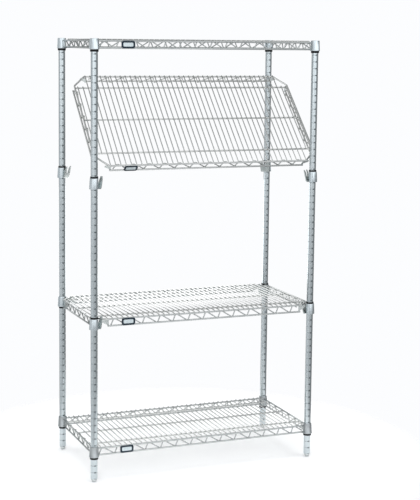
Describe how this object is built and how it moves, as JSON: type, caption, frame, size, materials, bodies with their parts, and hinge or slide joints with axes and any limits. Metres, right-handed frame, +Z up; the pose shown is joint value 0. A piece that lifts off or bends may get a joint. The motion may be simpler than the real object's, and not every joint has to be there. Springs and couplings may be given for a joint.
{
  "type": "wire shelving unit",
  "caption": "Free-standing wire shelving unit: grooved round posts, collared fixed top and bottom shelves, and lift-out shelves with cut corners that drop into clamp brackets.",
  "frame": {"origin": "floor level, centre of the four posts", "axes": "+Z up, -Y front, +X to the right seen from the front"},
  "size_m": [0.9124, 0.4504, 1.6162],
  "materials": {
    "post_metal": "satin plated steel",
    "wire_metal": "bright plated wire",
    "collar_metal": "satin plated casting",
    "foot_metal": "satin",
    "black_plastic": "matte",
    "cap_plastic": "matte grey",
    "label_plate": "dark blank plate"
  },
  "bodies": {
    "frame": {"bottom_shelf_collars": "collar_metal", "bottom_shelf_deck_wires": "wire_metal", "bottom_shelf_front_truss": "wire_metal", "bottom_shelf_label_plate": "label_plate", "bottom_shelf_left_sleeves": "black_plastic", "bottom_shelf_left_truss": "wire_metal", "bottom_shelf_rear_truss": "wire_metal", "bottom_shelf_right_sleeves": "black_plastic", "bottom_shelf_right_truss": "wire_metal", "bottom_shelf_support_wires": "wire_metal", "foot_inserts": "foot_metal", "middle_brackets": "collar_metal", "middle_sleeve_front_left": "black_plastic", "middle_sleeve_front_right": "black_plastic", "middle_sleeve_rear_left": "black_plastic", "middle_sleeve_rear_right": "black_plastic", "post_caps": "cap_plastic", "post_front_left": "post_metal", "post_front_right": "post_metal", "post_rear_left": "post_metal", "post_rear_right": "post_metal", "top_shelf_collars": "collar_metal", "top_shelf_deck_wires": "wire_metal", "top_shelf_front_truss": "wire_metal", "top_shelf_label_plate": "label_plate", "top_shelf_left_sleeves": "black_plastic", "top_shelf_left_truss": "wire_metal", "top_shelf_rear_truss": "wire_metal", "top_shelf_right_sleeves": "black_plastic", "top_shelf_right_truss": "wire_metal", "top_shelf_support_wires": "wire_metal", "upper_brackets": "collar_metal", "upper_sleeve_front_left": "black_plastic", "upper_sleeve_front_right": "black_plastic", "upper_sleeve_rear_left": "black_plastic", "upper_sleeve_rear_right": "black_plastic"},
    "middle_shelf": {"middle_shelf_corner_bars": "wire_metal", "middle_shelf_corner_plates": "wire_metal", "middle_shelf_deck_wires": "wire_metal", "middle_shelf_front_truss": "wire_metal", "middle_shelf_label_plate": "label_plate", "middle_shelf_left_truss": "wire_metal", "middle_shelf_rear_truss": "wire_metal", "middle_shelf_right_truss": "wire_metal", "middle_shelf_support_wires": "wire_metal"},
    "upper_shelf_carrier": {"upper_shelf_front_support_wire": "wire_metal"},
    "upper_shelf": {"upper_shelf_corner_bars": "wire_metal", "upper_shelf_corner_plates": "wire_metal", "upper_shelf_deck_wires": "wire_metal", "upper_shelf_front_truss": "wire_metal", "upper_shelf_label_plate": "label_plate", "upper_shelf_left_truss": "wire_metal", "upper_shelf_rear_truss": "wire_metal", "upper_shelf_right_truss": "wire_metal", "upper_shelf_support_wires": "wire_metal"},
    "foot_front_left_body": {"foot_front_left": "foot_metal"},
    "foot_front_right_body": {"foot_front_right": "foot_metal"},
    "foot_rear_left_body": {"foot_rear_left": "foot_metal"},
    "foot_rear_right_body": {"foot_rear_right": "foot_metal"}
  },
  "joints": [
    {"name": "upper_shelf_lift", "type": "slide", "parent": "frame", "child": "upper_shelf_carrier", "axis": [0.1839, 0, 0.9829], "range_m": [-0.08698, 0]},
    {"name": "upper_shelf_tilt", "type": "hinge", "parent": "upper_shelf_carrier", "child": "upper_shelf", "pos_m": [0.016, -0.161, 1.20368], "axis": [1, 0, 0], "range_deg": [-44.65, 0]},
    {"name": "middle_shelf_lift", "type": "slide", "parent": "frame", "child": "middle_shelf", "axis": [0, 0, 1], "range_m": [0, 0.4]},
    {"name": "foot_front_left_screw", "type": "slide", "parent": "frame", "child": "foot_front_left_body", "axis": [0, 0, 1], "range_m": [-0.02, 0]},
    {"name": "foot_front_right_screw", "type": "slide", "parent": "frame", "child": "foot_front_right_body", "axis": [0, 0, 1], "range_m": [-0.02, 0]},
    {"name": "foot_rear_left_screw", "type": "slide", "parent": "frame", "child": "foot_rear_left_body", "axis": [0, 0, 1], "range_m": [-0.02, 0]},
    {"name": "foot_rear_right_screw", "type": "slide", "parent": "frame", "child": "foot_rear_right_body", "axis": [0, 0, 1], "range_m": [-0.02, 0]}
  ],
  "couplings": [
    {"joint": "upper_shelf_tilt", "follows": "upper_shelf_lift", "rad_per_m": 8.9489}
  ]
}
